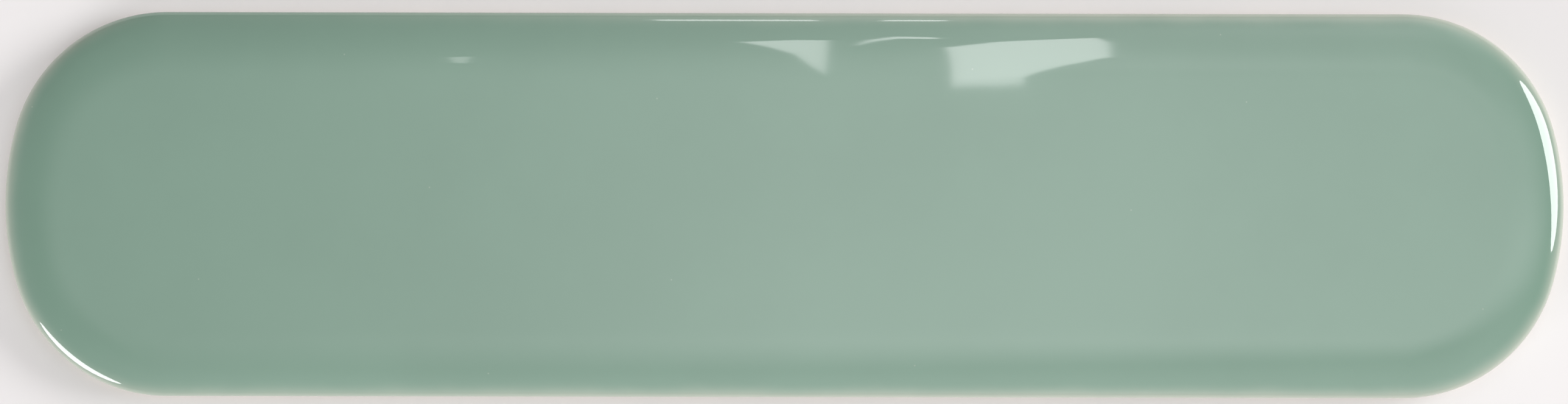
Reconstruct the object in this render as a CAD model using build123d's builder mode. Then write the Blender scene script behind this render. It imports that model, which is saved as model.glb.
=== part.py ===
"""Ceramic field tile with bowed, round-cornered ends and a cushioned glazed edge, pressed and fired as one piece.

The tile lies on its back: +X runs along its length, +Z points out of the glazed face,
and the origin is the middle of the back. All sizes are in millimetres.
"""

import os

from build123d import *

# Footprint: a 300 x 75 module less one joint each way, with ends that bow outwards
MODULE_LENGTH = 300.0
MODULE_WIDTH = 75.0
JOINT_WIDTH = 1.5
END_BOW = 14.0
CORNER_RADIUS = 30.0

# Section: a flat field, a cushioned edge that falls to an upright side, and a broken back arris
FIELD_THICKNESS = 9.0
CUSHION_WIDTH = 12.0
CUSHION_DROP = 3.8
BACK_CHAMFER = 0.8

# Key on the back: lengthwise ribs between shallow grooves, all inside a plain border
KEY_BORDER = 7.0
KEY_DEPTH = 0.7
RIB_COUNT = 7
RIB_WIDTH = 4.0

tile_length = MODULE_LENGTH - JOINT_WIDTH
tile_width = MODULE_WIDTH - JOINT_WIDTH
half_length = tile_length / 2
half_width = tile_width / 2

# Outline: two straight sides and two bowed ends, with the four corners rounded into both
side_reach = half_length - END_BOW
with BuildSketch() as footprint:
    with BuildLine():
        front_side = Line((-side_reach, -half_width), (side_reach, -half_width))
        right_end = ThreePointArc(front_side @ 1, (half_length, 0), (side_reach, half_width))
        back_side = Line(right_end @ 1, (-side_reach, half_width))
        ThreePointArc(back_side @ 1, (-half_length, 0), front_side @ 0)
    make_face()
    fillet(footprint.vertices(), radius=CORNER_RADIUS)

# Flat field inside the cushioned edge
with BuildSketch() as field:
    offset(footprint.sketch, amount=-CUSHION_WIDTH)

# Section of the edge, square to the outline: a quarter ellipse, the upright side and the arris
outline = footprint.face().outer_wire()
up = Vector(0, 0, 1)
outward = (outline % 0).cross(up)
side_height = FIELD_THICKNESS - CUSHION_DROP
with BuildSketch(Plane(outline @ 0, x_dir=outward, z_dir=outward.cross(up))) as edge_section:
    with BuildLine():
        cushion = EllipticalCenterArc((-CUSHION_WIDTH, side_height), CUSHION_WIDTH, CUSHION_DROP, arc_size=90)
        Polyline(
            cushion @ 0,
            (0, BACK_CHAMFER),
            (-BACK_CHAMFER, 0),
            (-CUSHION_WIDTH, 0),
            cushion @ 1,
        )
    make_face()

# Grooves of the key: the space inside the border, less the ribs
rib_pitch = (tile_width - 2 * KEY_BORDER + RIB_WIDTH) / (RIB_COUNT + 1)
with BuildSketch() as grooves:
    offset(footprint.sketch, amount=-KEY_BORDER)
    with GridLocations(tile_length, rib_pitch, 1, RIB_COUNT):
        Rectangle(tile_length, RIB_WIDTH, mode=Mode.SUBTRACT)

with BuildPart() as tile:
    extrude(field.sketch, amount=FIELD_THICKNESS)
    sweep(edge_section.sketch, path=outline)
    extrude(grooves.sketch, amount=KEY_DEPTH, mode=Mode.SUBTRACT)

tile.part.label = "tile"

os.makedirs("parts", exist_ok=True)
export_step(tile.part, "parts/tile.step")
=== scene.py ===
"""Glazed ceramic field tile: models the finished tile round its CAD frame and sets its studio.

The tile lies on its back: +X runs along its length, +Z points out of the glazed face,
and the origin is the middle of the back. Lengths are in metres.
"""

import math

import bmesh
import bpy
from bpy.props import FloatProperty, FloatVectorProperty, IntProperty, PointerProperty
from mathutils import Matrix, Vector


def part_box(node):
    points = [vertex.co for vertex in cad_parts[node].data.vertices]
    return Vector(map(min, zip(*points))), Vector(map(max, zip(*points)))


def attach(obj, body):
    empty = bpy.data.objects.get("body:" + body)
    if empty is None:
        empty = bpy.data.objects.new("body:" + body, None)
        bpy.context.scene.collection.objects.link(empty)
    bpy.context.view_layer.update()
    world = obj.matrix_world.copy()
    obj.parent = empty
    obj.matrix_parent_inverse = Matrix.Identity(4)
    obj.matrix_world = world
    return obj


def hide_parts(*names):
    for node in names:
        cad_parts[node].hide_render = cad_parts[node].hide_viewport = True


bl_info = {
    "name": "Ceramic Field Tile",
    "version": (1, 0, 0),
    "blender": (4, 5, 0),
    "location": "View3D > Sidebar > Field Tile",
    "description": "Models a glazed field tile with bowed ends and a cushioned edge, and its studio",
    "category": "Add Mesh",
}

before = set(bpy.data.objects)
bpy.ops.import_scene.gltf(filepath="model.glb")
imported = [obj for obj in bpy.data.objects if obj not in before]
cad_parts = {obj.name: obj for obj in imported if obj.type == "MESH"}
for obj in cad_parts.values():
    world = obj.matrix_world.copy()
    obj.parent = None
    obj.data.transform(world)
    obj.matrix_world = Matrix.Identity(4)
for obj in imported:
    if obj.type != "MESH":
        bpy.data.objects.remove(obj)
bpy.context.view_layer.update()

TILE_LOW, TILE_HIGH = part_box("tile")

MM = 0.001
NEAR = 0.001 * MM
WHITE = (1.0, 1.0, 1.0, 1.0)
GRAIN_COLOUR = (0.45, 0.36, 0.27, 1.0)
GLAZE_IOR = 1.65


def to_half_millimetre(size):
    """A size of the frame's faceted mesh, rounded to the nearest half millimetre."""
    return round(size / (0.5 * MM)) * 0.5 * MM


class FieldTileSizes(bpy.types.PropertyGroup):
    """Sizes of the tile: its outline and thickness come from the frame, the rest from its section."""

    length: FloatProperty(
        name="Length",
        description="Overall length, over the crowns of the bowed ends",
        default=to_half_millimetre(TILE_HIGH.x - TILE_LOW.x),
        unit="LENGTH",
    )
    width: FloatProperty(
        name="Width",
        description="Overall width, over the straight sides",
        default=to_half_millimetre(TILE_HIGH.y - TILE_LOW.y),
        unit="LENGTH",
    )
    thickness: FloatProperty(
        name="Thickness",
        description="From the back to the flat of the glazed face",
        default=to_half_millimetre(TILE_HIGH.z - TILE_LOW.z),
        unit="LENGTH",
    )
    end_bow: FloatProperty(
        name="End Bow",
        description="How far the crown of an end stands out past its two corners",
        default=14.0 * MM,
        unit="LENGTH",
    )
    corner_radius: FloatProperty(
        name="Corner Radius",
        description="Radius of the corners in plan",
        default=30.0 * MM,
        unit="LENGTH",
    )
    cushion_width: FloatProperty(
        name="Cushion Width",
        description="Width of the curved edge, from the side in to the flat of the face",
        default=12.0 * MM,
        unit="LENGTH",
    )
    cushion_drop: FloatProperty(
        name="Cushion Drop",
        description="How far the curved edge falls from the flat of the face to the upright side",
        default=3.8 * MM,
        unit="LENGTH",
    )
    glaze_thickness: FloatProperty(
        name="Glaze Thickness",
        description="How far the glaze stands out from the bare side below it",
        default=0.35 * MM,
        unit="LENGTH",
    )
    glaze_line: FloatProperty(
        name="Glaze Line",
        description="Height above the back at which the glaze on the sides ends",
        default=2.0 * MM,
        unit="LENGTH",
    )
    glaze_wander: FloatProperty(
        name="Glaze Wander",
        description="How far the glaze line runs up and down along the sides",
        default=1.1 * MM,
        unit="LENGTH",
    )
    arris: FloatProperty(
        name="Back Arris",
        description="Size of the broken edge between the sides and the back",
        default=0.8 * MM,
        unit="LENGTH",
    )
    key_border: FloatProperty(
        name="Key Border",
        description="Width of the plain border round the ribs of the back",
        default=7.0 * MM,
        unit="LENGTH",
    )
    key_depth: FloatProperty(
        name="Key Depth",
        description="Depth of the grooves between the ribs of the back",
        default=0.7 * MM,
        unit="LENGTH",
    )
    rib_width: FloatProperty(
        name="Rib Width",
        description="Width of each rib of the back",
        default=4.0 * MM,
        unit="LENGTH",
    )
    rib_count: IntProperty(
        name="Ribs",
        description="Number of lengthwise ribs on the back",
        default=7,
        min=1,
    )


class FieldTileFinish(bpy.types.PropertyGroup):
    """Colours and surface of the glaze and of the bare biscuit."""

    field_colour: FloatVectorProperty(
        name="Field Colour",
        description="Glaze where it lies thick on the flat of the face",
        default=(0.206, 0.322, 0.253),
        subtype="COLOR",
        min=0.0,
        max=1.0,
    )
    thin_colour: FloatVectorProperty(
        name="Thin Colour",
        description="Glaze where it has drawn thin over the turn of the edge",
        default=(0.51, 0.54, 0.46),
        subtype="COLOR",
        min=0.0,
        max=1.0,
    )
    biscuit_colour: FloatVectorProperty(
        name="Biscuit Colour",
        description="Bare fired body of the sides and the back",
        default=(0.72, 0.64, 0.52),
        subtype="COLOR",
        min=0.0,
        max=1.0,
    )
    gloss: FloatProperty(
        name="Glaze Roughness",
        description="Roughness of the glaze",
        default=0.03,
        subtype="FACTOR",
        min=0.0,
        max=1.0,
    )


class FieldTileStudio(bpy.types.PropertyGroup):
    """Camera, floor and lamps."""

    camera_height: FloatProperty(
        name="Camera Height",
        description="Height of the camera above the floor",
        default=1.2067,
        unit="LENGTH",
    )
    lens: FloatProperty(
        name="Lens",
        description="Focal length of the camera in millimetres",
        default=144.0,
        unit="CAMERA",
    )
    floor_colour: FloatVectorProperty(
        name="Floor Colour",
        description="Pale floor that the tile lies on",
        default=(0.85, 0.82, 0.82),
        subtype="COLOR",
        min=0.0,
        max=1.0,
    )
    key_radiance: FloatProperty(
        name="Key Lamp",
        description="Brightness of the softbox at the right",
        default=10.2,
        min=0.0,
    )
    fill_radiance: FloatProperty(
        name="Fill Lamp",
        description="Brightness of the softbox at the near left",
        default=10.2,
        min=0.0,
    )
    panel_radiance: FloatProperty(
        name="Panels",
        description="Brightness of the narrow panels beyond the far side",
        default=5.6,
        min=0.0,
    )


class Wire:
    """A value in a material's node tree. Arithmetic on it adds the Math nodes."""

    def __init__(self, graph, socket):
        self.graph = graph
        self.socket = socket

    def math(self, operation, first, second):
        """A Math node on two values."""
        return self.graph.node("ShaderNodeMath", {"operation": operation}, {0: first, 1: second})

    def __add__(self, other):
        return self.math("ADD", self, other)

    def __sub__(self, other):
        return self.math("SUBTRACT", self, other)

    def __mul__(self, other):
        return self.math("MULTIPLY", self, other)

    def __radd__(self, other):
        return self.math("ADD", other, self)

    def __rsub__(self, other):
        return self.math("SUBTRACT", other, self)

    def __rmul__(self, other):
        return self.math("MULTIPLY", other, self)


class Graph:
    """A node tree under construction."""

    def __init__(self, tree):
        self.tree = tree
        tree.nodes.clear()

    def node(self, kind, settings=None, inputs=None, output=0):
        """Add a node, set it up, feed its sockets with values or wires, and return one of its outputs."""
        made = self.tree.nodes.new(kind)
        for name, value in (settings or {}).items():
            setattr(made, name, value)
        for key, value in (inputs or {}).items():
            if isinstance(value, Wire):
                self.tree.links.new(value.socket, made.inputs[key])
            else:
                made.inputs[key].default_value = value
        return Wire(self, made.outputs[output]) if made.outputs else None

    def place(self):
        """Place on the piece, as Object coordinates."""
        return self.node("ShaderNodeTexCoord", output="Object")

    def split(self, vector):
        """The three parts of a vector."""
        first = self.node("ShaderNodeSeparateXYZ", None, {0: vector})
        return [Wire(self, part) for part in first.socket.node.outputs]

    def noise(self, place, scale, detail=2.0, roughness=0.5):
        """Even noise between 0 and 1, with scale in waves per metre."""
        return self.node(
            "ShaderNodeTexNoise",
            {"noise_dimensions": "3D"},
            {"Vector": place, "Scale": scale, "Detail": detail, "Roughness": roughness},
        )

    def ease(self, value, start, end):
        """0 at start and 1 at end, with a soft run between them."""
        return self.node(
            "ShaderNodeMapRange",
            {"interpolation_type": "SMOOTHSTEP"},
            {"Value": value, "From Min": start, "From Max": end, "To Min": 0.0, "To Max": 1.0},
        )

    def blend(self, share, first, second):
        """A colour between two colours."""
        return self.node(
            "ShaderNodeMix",
            {"data_type": "RGBA"},
            {0: share, 6: first, 7: second},
            output=2,
        )

    def finish(self, shader):
        """Send a shader to the surface."""
        kind = "ShaderNodeOutputMaterial"
        if isinstance(self.tree.id_data, bpy.types.World):
            kind = "ShaderNodeOutputWorld"
        self.node(kind, None, {"Surface": shader})


def new_graph(name):
    """A new material and its empty node tree."""
    material = bpy.data.materials.new(name)
    material.use_nodes = True
    return material, Graph(material.node_tree)


def solid(colour):
    """A colour with its alpha."""
    return (*colour, 1.0)


def glaze_material(sizes, finish):
    """Gloss celadon glaze: thick on the flat, drawn thin and pale over the turn of the edge."""
    material, graph = new_graph("celadon_glaze")
    place = graph.place()
    length, width, height = graph.split(place)

    # Thickness of the glaze: it draws thin over the tight turn, and is thicker again on the side
    turn = sizes.thickness - sizes.cushion_drop
    thinnest = turn + 0.2 * MM
    thick_above = turn + 2.6 * MM
    thick_below = turn - 2.2 * MM
    patchy = graph.noise(place, 90.0, 3.0)
    level = height + (patchy - 0.5) * (0.6 * MM)
    over_turn = 1.0 - graph.ease(level, thinnest, thick_above)
    on_side = graph.ease(level, thick_below, thinnest)

    # Painted shade on the rim: the pale thin glaze is taken back on the left of both long sides, mostly
    # the far one, so the rim there is darker, as if in shade
    far_side = graph.ease(width, 12.0 * MM, 33.0 * MM)
    near_side = graph.ease(width, -12.0 * MM, -33.0 * MM)
    left_half = graph.ease(length, 60.0 * MM, -115.0 * MM)
    short_of_end = graph.ease(length, -141.0 * MM, -120.0 * MM)
    painted_rim_shade = (0.9 * far_side + 0.35 * near_side) * left_half * short_of_end
    # The pale thin rim, less the painted shade on the far left
    thin = over_turn * on_side * (1.0 - painted_rim_shade)

    # Colour: faint clouding on the field, and a few pale pinholes
    cloud = graph.noise(place, 24.0, 4.0, 0.6)
    field = graph.blend(
        graph.ease(cloud, 0.3, 0.7),
        solid([c * 0.978 for c in finish.field_colour]),
        solid([c * 1.022 for c in finish.field_colour]),
    )
    spot = graph.node(
        "ShaderNodeTexVoronoi",
        {"voronoi_dimensions": "2D"},
        {"Vector": place, "Scale": 24.0},
        output="Distance",
    )
    pinhole = graph.ease(spot, 0.005, 0.0015) * 0.3
    paler = solid(finish.thin_colour)
    colour = graph.blend(pinhole, graph.blend(thin, field, paler), paler)

    # Surface: slow ripples of the melt
    ripple = graph.noise(place, 55.0, 2.0, 0.4)
    normal = graph.node(
        "ShaderNodeBump",
        None,
        {"Strength": 1.0, "Distance": 0.006 * MM, "Height": ripple},
    )
    shader = graph.node(
        "ShaderNodeBsdfPrincipled",
        None,
        {"Base Color": colour, "Roughness": finish.gloss, "IOR": GLAZE_IOR, "Normal": normal},
    )
    graph.finish(shader)
    return material


def biscuit_material(finish):
    """Bare fired body: cream, dry and finely grained."""
    material, graph = new_graph("bare_biscuit")
    place = graph.place()
    grain = graph.noise(place, 2200.0, 4.0, 0.6)
    cloud = graph.noise(place, 60.0, 4.0, 0.6)
    colour = graph.blend(
        graph.ease(cloud, 0.25, 0.75),
        solid([c * 0.93 for c in finish.biscuit_colour]),
        solid([min(c * 1.05, 1.0) for c in finish.biscuit_colour]),
    )
    colour = graph.blend(graph.ease(grain, 0.58, 0.8) * 0.25, colour, GRAIN_COLOUR)
    normal = graph.node(
        "ShaderNodeBump",
        None,
        {"Strength": 0.6, "Distance": 0.08 * MM, "Height": grain},
    )
    shader = graph.node(
        "ShaderNodeBsdfPrincipled",
        None,
        {"Base Color": colour, "Roughness": 0.88, "Normal": normal},
    )
    graph.finish(shader)
    return material


def pick(piece, kind, test):
    """Select, in edit mode, just the vertices, edges or faces whose middle passes the test."""
    bpy.ops.mesh.select_mode(type=kind)
    bpy.ops.mesh.select_all(action="DESELECT")
    mesh = bmesh.from_edit_mesh(piece.data)
    if kind == "VERT":
        chosen = [v for v in mesh.verts if test(v.co)]
    elif kind == "EDGE":
        chosen = [e for e in mesh.edges if test((e.verts[0].co + e.verts[1].co) / 2)]
    else:
        chosen = [f for f in mesh.faces if test(f.calc_center_median())]
    for part in chosen:
        part.select_set(True)
    mesh.select_flush_mode()
    bmesh.update_edit_mesh(piece.data)
    if not chosen:
        raise RuntimeError(f"nothing to select on {piece.name}")


def pull(*steps):
    """Extrude what is selected along each step in turn."""
    for step in steps:
        bpy.ops.mesh.extrude_region_move(TRANSFORM_OT_translate={"value": step})


def apply_modifier(piece, kind, **settings):
    """Add a modifier, set it up and apply it."""
    bpy.ops.object.modifier_add(type=kind)
    modifier = piece.modifiers[-1]
    for name, value in settings.items():
        setattr(modifier, name, value)
    bpy.ops.object.modifier_apply(modifier=modifier.name)


class FIELDTILE_OT_model_tile(bpy.types.Operator):
    """Model the glazed tile in place of its CAD node"""

    bl_idname = "field_tile.model_tile"
    bl_label = "Model Tile"
    bl_options = {"REGISTER", "UNDO"}

    CUSHION_STEPS = 28
    END_STEPS = 8
    CORNER_STEPS = 26
    SIDE_STEPS = 40
    STRIP_MIDDLE = 20 * MM
    WANDER_BAND = 0.95 * MM
    WANDER_SCALE = 14 * MM
    SMOOTH_ANGLE = 40

    def execute(self, context):
        sizes = context.scene.field_tile_sizes
        finish = context.scene.field_tile_finish
        self.draw_section(sizes)
        piece = context.active_object
        piece.name = "glazed_tile"
        piece.data.name = "glazed_tile"
        self.sweep_section(sizes)
        self.mirror_quarter(piece)
        self.close_face(piece, sizes)
        self.close_back(piece, sizes)
        self.dress(piece, sizes, finish)
        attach(piece, "root")
        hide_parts("tile")
        return {"FINISHED"}

    def draw_section(self, sizes):
        """Quarter ellipse of the cushioned edge at the crown of one end, and the side below it."""
        crown = sizes.length / 2
        turn = sizes.thickness - sizes.cushion_drop
        bpy.ops.object.select_all(action="DESELECT")
        bpy.ops.mesh.primitive_circle_add(
            vertices=4 * self.CUSHION_STEPS,
            radius=sizes.cushion_width,
            location=(crown - sizes.cushion_width, 0, turn),
            rotation=(math.pi / 2, 0, 0),
        )
        bpy.ops.object.transform_apply(location=True, rotation=True, scale=True)
        piece = bpy.context.active_object
        bpy.ops.object.mode_set(mode="EDIT")
        flatten = sizes.cushion_drop / sizes.cushion_width
        bpy.ops.transform.resize(value=(1, 1, flatten), center_override=(0, 0, turn))
        inner = crown - sizes.cushion_width
        pick(piece, "VERT", lambda co: co.x < inner - NEAR or co.z < turn - NEAR)
        bpy.ops.mesh.delete(type="VERT")

        # Points of the section below the turn, each as its set-back from the crown and its height
        skin = sizes.glaze_thickness
        line = sizes.glaze_line
        points = [
            (0, turn),
            (0, turn - 0.8 * MM),
            (0, turn - 1.6 * MM),
            (0, line + 0.9 * MM),
            (0.03 * skin, line + 0.6 * MM),
            (0.2 * skin, line + 0.3 * MM),
            (0.55 * skin, line + 0.08 * MM),
            (skin, line),
            (skin, line - 0.5 * MM),
            (skin, sizes.arris),
            (skin + 0.25 * sizes.arris, 0.35 * sizes.arris),
            (skin + 0.65 * sizes.arris, 0),
            (0.4 * sizes.key_border, 0),
            (sizes.key_border, 0),
        ]
        pick(piece, "VERT", lambda co: co.z < turn + NEAR)
        for here, there in zip(points, points[1:]):
            pull((here[0] - there[0], 0, there[1] - here[1]))

    def sweep_section(self, sizes):
        """Turn the section round the end and the corner, then draw it along half of the side."""
        half_width = sizes.width / 2
        bow = sizes.end_bow
        end_radius = (half_width**2 + bow**2) / (2 * bow)
        end_x = sizes.length / 2 - end_radius
        corner_y = half_width - sizes.corner_radius
        corner_x = end_x + math.sqrt((end_radius - sizes.corner_radius) ** 2 - corner_y**2)
        end_turn = math.atan2(corner_y, corner_x - end_x)
        anticlockwise = (0, 0, -1)
        bpy.ops.mesh.select_all(action="SELECT")
        bpy.ops.mesh.spin(
            steps=self.END_STEPS,
            angle=end_turn,
            center=(end_x, 0, 0),
            axis=anticlockwise,
        )
        bpy.ops.mesh.spin(
            steps=self.CORNER_STEPS,
            angle=math.pi / 2 - end_turn,
            center=(corner_x, corner_y, 0),
            axis=anticlockwise,
        )
        step = (-corner_x / self.SIDE_STEPS, 0, 0)
        pull(*[step] * self.SIDE_STEPS)
        bpy.ops.object.mode_set(mode="OBJECT")

    def mirror_quarter(self, piece):
        """Mirror the quarter over the length and the width."""
        apply_modifier(piece, "MIRROR", use_axis=(True, True, False), merge_threshold=NEAR)

    def close_face(self, piece, sizes):
        """Close the flat of the face with rows of quads."""
        face = sizes.thickness
        bpy.ops.object.mode_set(mode="EDIT")
        bpy.ops.mesh.select_all(action="SELECT")
        bpy.ops.mesh.remove_doubles(threshold=NEAR)
        pick(piece, "EDGE", lambda co: co.z > face - NEAR)
        mesh = bmesh.from_edit_mesh(piece.data)
        rim = [v for v in mesh.verts if v.co.z > face - NEAR]
        corner = max(rim, key=lambda v: v.co.x + v.co.y)
        mesh.select_history.clear()
        mesh.select_history.add(corner)
        bmesh.update_edit_mesh(piece.data)
        bpy.ops.mesh.fill_grid(span=2 * (self.END_STEPS + self.CORNER_STEPS // 2), use_interp_simple=True)

    def close_back(self, piece, sizes):
        """Close the back, cut it at the ribs and sink the grooves between them."""
        border = sizes.width / 2 - sizes.key_border
        pitch = (2 * border + sizes.rib_width) / (sizes.rib_count + 1)
        first = -pitch * (sizes.rib_count - 1) / 2
        ribs = [first + pitch * i for i in range(sizes.rib_count)]
        half = sizes.rib_width / 2

        def on_key(co):
            """On one of the long strips of the back, whose middles lie near the middle of the length."""
            return abs(co.z) < NEAR and abs(co.y) < border - NEAR and abs(co.x) < self.STRIP_MIDDLE

        pick(piece, "EDGE", lambda co: abs(co.z) < NEAR)
        mesh = bmesh.from_edit_mesh(piece.data)
        for edge in mesh.edges:
            edge.select_set(edge.select and edge.is_boundary)
        bmesh.update_edit_mesh(piece.data)
        bpy.ops.mesh.edge_face_add()
        for rib in ribs:
            for side in (rib - half, rib + half):
                pick(piece, "FACE", on_key)
                bpy.ops.mesh.bisect(plane_co=(0, side, 0), plane_no=(0, 1, 0))

        def in_groove(co):
            return on_key(co) and all(abs(co.y - rib) > half for rib in ribs)

        pick(piece, "FACE", in_groove)
        pull((0, 0, sizes.key_depth))
        bpy.ops.mesh.select_all(action="SELECT")
        bpy.ops.mesh.remove_doubles(threshold=NEAR)
        bpy.ops.mesh.normals_make_consistent(inside=False)

    def dress(self, piece, sizes, finish):
        """Let the glaze line wander, and give the glaze and the biscuit their faces."""
        line = sizes.glaze_line
        pick(piece, "VERT", lambda co: line - NEAR < co.z < line + self.WANDER_BAND)
        group = piece.vertex_groups.new(name="glaze_line")
        bpy.ops.object.vertex_group_assign()
        for material in (glaze_material(sizes, finish), biscuit_material(finish)):
            piece.data.materials.append(material)
        pick(piece, "FACE", lambda co: co.z < line - NEAR)
        piece.active_material_index = 1
        bpy.ops.object.material_slot_assign()
        bpy.ops.object.mode_set(mode="OBJECT")
        wander = bpy.data.textures.new("glaze_wander", type="CLOUDS")
        wander.noise_scale = self.WANDER_SCALE
        wander.noise_depth = 2
        apply_modifier(
            piece,
            "DISPLACE",
            texture=wander,
            texture_coords="LOCAL",
            direction="Z",
            vertex_group=group.name,
            strength=sizes.glaze_wander,
            mid_level=0.5,
        )
        bpy.ops.object.shade_smooth_by_angle(angle=math.radians(self.SMOOTH_ANGLE))


def aim(lamp, target):
    """Turn a lamp to face a point."""
    lamp.rotation_euler = (Vector(target) - lamp.location).to_track_quat("-Z", "Y").to_euler()


def add_lamp(name, middle, target, width, height, radiance, shape="RECTANGLE"):
    """A soft lamp of a given brightness, facing a point."""
    bpy.ops.object.light_add(type="AREA", location=middle)
    lamp = bpy.context.active_object
    lamp.name = name
    lamp.data.shape = shape
    lamp.data.size = width
    lamp.data.size_y = height
    area = width * height
    if shape == "ELLIPSE":
        area *= math.pi / 4
    lamp.data.energy = radiance * math.pi * area
    aim(lamp, target)


def add_softbox(name, target, azimuth, elevation, reach, spread, radiance):
    """An elliptical lamp at a reach from a point, with its half width and half height there in degrees."""
    width, height = (2 * reach * math.tan(math.radians(half)) for half in spread)
    middle = towards(azimuth, elevation, reach, target)
    add_lamp(name, middle, target, width, height, radiance, "ELLIPSE")


def add_panel(name, outline, height, radiance):
    """A level glowing panel, cut to an outline in millimetres, that the camera doesn't see."""
    bpy.ops.mesh.primitive_circle_add(vertices=len(outline), fill_type="NGON")
    panel = bpy.context.active_object
    panel.name = name
    for corner, (x, y) in zip(panel.data.vertices, outline):
        corner.co = (x * MM, y * MM, height)
    material, graph = new_graph(name + "_glow")
    glow = graph.node("ShaderNodeEmission", None, {"Color": WHITE, "Strength": radiance})
    graph.finish(glow)
    panel.data.materials.append(material)
    panel.visible_camera = False
    panel.visible_shadow = False


def towards(azimuth, elevation, reach, start):
    """The point at a reach from a start, along an azimuth from +X and an elevation in degrees."""
    turn = math.radians(azimuth)
    rise = math.radians(elevation)
    ray = Vector((math.cos(turn) * math.cos(rise), math.sin(turn) * math.cos(rise), math.sin(rise)))
    return Vector(start) + ray * reach


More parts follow.
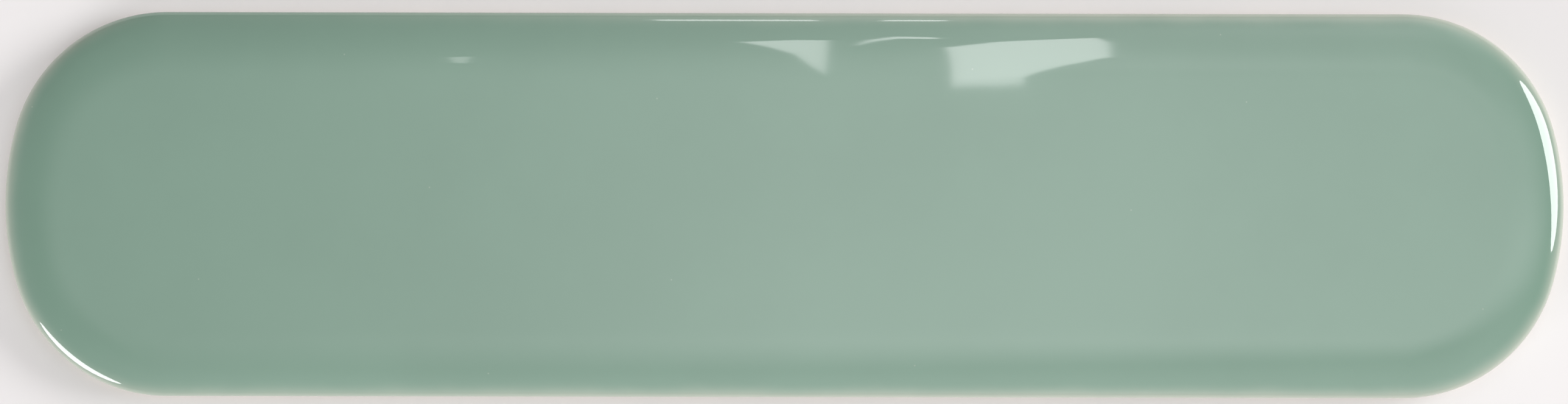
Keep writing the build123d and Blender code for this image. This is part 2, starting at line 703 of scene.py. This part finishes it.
class FIELDTILE_OT_set_stage(bpy.types.Operator):
    """Set the pale floor, the soft lamps and the camera that looks straight down"""

    bl_idname = "field_tile.set_stage"
    bl_label = "Set Stage"
    bl_options = {"REGISTER", "UNDO"}

    def execute(self, context):
        studio = context.scene.field_tile_studio
        bpy.ops.object.select_all(action="DESELECT")
        self.lay_floor(studio)
        self.hang_lamps(studio)
        self.light_room(context.scene)
        self.set_camera(context.scene, studio)
        context.scene.view_settings.view_transform = "Standard"
        return {"FINISHED"}

    def lay_floor(self, studio):
        """Pale floor under the tile."""
        just_below = -0.02 * MM
        bpy.ops.mesh.primitive_plane_add(size=16.0, location=(0.0, 0.0, just_below))
        floor = bpy.context.active_object
        floor.name = "floor"
        material, graph = new_graph("pale_floor")
        colour = solid(studio.floor_colour)
        lit = graph.node("ShaderNodeBsdfDiffuse", None, {"Color": colour})
        pale = graph.node("ShaderNodeEmission", None, {"Color": colour, "Strength": 1.15})
        seen = graph.node("ShaderNodeLightPath", output="Is Camera Ray")
        mirrored = graph.node("ShaderNodeLightPath", output="Is Glossy Ray")
        through = graph.node("ShaderNodeLightPath", output="Is Transmission Ray")
        lift = (seen + mirrored + through) * 0.12
        shader = graph.node("ShaderNodeMixShader", None, {0: lift, 1: lit, 2: pale})
        graph.finish(shader)
        floor.data.materials.append(material)

    def hang_lamps(self, studio):
        """Softboxes at the right and the near left, and narrow lamps and panels beyond the far side."""
        right_end = (0.147, 0.0, 0.007)
        left_corner = (-0.135, -0.03, 0.007)
        far_side = (0.0, 0.035, 0.007)
        add_softbox("key_softbox", right_end, 13, 30, 2.0, (19, 13), studio.key_radiance)
        add_softbox("fill_softbox", left_corner, 229, 16.5, 2.2, (18, 10.5), studio.fill_radiance)
        bar_y, bar_z, bar_height = 1.235, 0.63, 0.12
        for name, x, width in (("bar_left", -0.020, 0.065), ("bar_right", 0.053, 0.025)):
            add_lamp(name, (x, bar_y, bar_z), far_side, width, bar_height, studio.panel_radiance)

        # Panels overhead, beyond the far side, whose outlines show in the gloss of the far edge
        wide = ((58, 41), (84, 42), (97, 150), (115, 255), (118, 470), (116, 580), (78, 485), (58, 380))
        corner = ((14, 50), (16, 510), (4, 515), (-16, 472), (-6, 385), (3, 285))
        small = ((-118, 235), (-116, 172), (-112, 166), (-111, 245))
        thin = ((25, 395), (33, 490), (42, 552), (57, 540), (56, 585), (41, 600), (30, 505))
        panels = {
            "panel_wide": (wide, 1.0),
            "panel_corner": (corner, 0.86),
            "panel_small": (small, 0.55),
            "panel_thin": (thin, 1.0),
        }
        panel_height = 1.0
        for name, (outline, share) in panels.items():
            add_panel(name, outline, panel_height, studio.panel_radiance * share)

    def light_room(self, scene):
        """Dim room, pale towards three of its sides, with a soft glow overhead."""
        world = bpy.data.worlds.new("soft_room")
        world.use_nodes = True
        scene.world = world
        graph = Graph(world.node_tree)
        ray = graph.node("ShaderNodeTexCoord", output="Generated")
        x, y, z = graph.split(ray)

        # Glow overhead: brightest a little right of the middle, and dimmest at the far left
        across = 0.23 * graph.ease(x, -0.46, -0.17) + 0.77 * graph.ease(x, -0.13, 0.06)
        across = across - 0.08 * graph.ease(x, 0.0, 0.03) - 0.22 * graph.ease(x, 0.03, 0.14)
        across = across * (1.0 - graph.ease(x, 0.32, 0.85))
        spread = y * (1.0 + graph.ease(x, -0.02, 0.20) + graph.ease(x, -0.12, -0.25))
        along = 1.0 - 0.36 * graph.ease(spread, 0.05, 0.50) - 0.70 * graph.ease(spread, -0.05, -0.50)
        along = along * (1.0 - 0.24 * graph.ease(y, -0.05, 0.05))
        along = along * (1.0 - 0.65 * graph.ease(y, -0.02, 0.30) * graph.ease(x, 0.04, -0.22))
        glow = across * along * graph.ease(z, 0.0, 0.3)

        # Paler sides: the near side, the left end and the right of the far side
        near_side = graph.ease(y, -0.15, -0.75)
        left_end = graph.ease(x, -0.55, -0.95)
        far_right = graph.ease(y, 0.40, 0.65) * graph.ease(x, 0.03, 0.12) * graph.ease(x, 0.7, 0.4)
        far_wall = graph.ease(y, 0.02, 0.15) * graph.ease(y, 0.82, 0.62)
        far_wall = far_wall * graph.ease(x, 0.01, 0.045) * graph.ease(x, 0.30, 0.12)

        level = 0.03 + glow * 2.375 + near_side * 0.44 + left_end * 0.45
        level = level + far_right * 0.4 + far_wall * 0.33
        shader = graph.node("ShaderNodeBackground", None, {"Color": WHITE, "Strength": level})
        graph.finish(shader)

    def set_camera(self, scene, studio):
        """Camera that looks straight down on the face, a hair off the middle and square."""
        aside, beyond, turn = -0.1 * MM, 0.6 * MM, math.radians(0.109)
        bpy.ops.object.camera_add(
            location=(aside, beyond, studio.camera_height),
            rotation=(0, 0, turn),
        )
        camera = bpy.context.active_object
        camera.name = "camera"
        camera.data.lens = studio.lens
        camera.data.sensor_width = 36.0
        scene.camera = camera


class FIELDTILE_PT_sidebar(bpy.types.Panel):
    """Sizes, finish, studio and the two steps of the tile"""

    bl_idname = "FIELDTILE_PT_sidebar"
    bl_label = "Field Tile"
    bl_space_type = "VIEW_3D"
    bl_region_type = "UI"
    bl_category = "Field Tile"

    def draw(self, context):
        layout = self.layout
        for operator in (FIELDTILE_OT_model_tile, FIELDTILE_OT_set_stage):
            layout.operator(operator.bl_idname)
        for name in ("field_tile_sizes", "field_tile_finish", "field_tile_studio"):
            group = getattr(context.scene, name)
            column = layout.column(align=True)
            for key in group.__annotations__:
                column.prop(group, key)


GROUPS = {
    "field_tile_sizes": FieldTileSizes,
    "field_tile_finish": FieldTileFinish,
    "field_tile_studio": FieldTileStudio,
}
CLASSES = (
    *GROUPS.values(),
    FIELDTILE_OT_model_tile,
    FIELDTILE_OT_set_stage,
    FIELDTILE_PT_sidebar,
)


def register():
    for made in CLASSES:
        bpy.utils.register_class(made)
    for name, group in GROUPS.items():
        setattr(bpy.types.Scene, name, PointerProperty(type=group))


def unregister():
    for name in GROUPS:
        delattr(bpy.types.Scene, name)
    for made in reversed(CLASSES):
        bpy.utils.unregister_class(made)


def main():
    register()
    bpy.ops.field_tile.model_tile()
    bpy.ops.field_tile.set_stage()


if __name__ == "__main__":
    main()
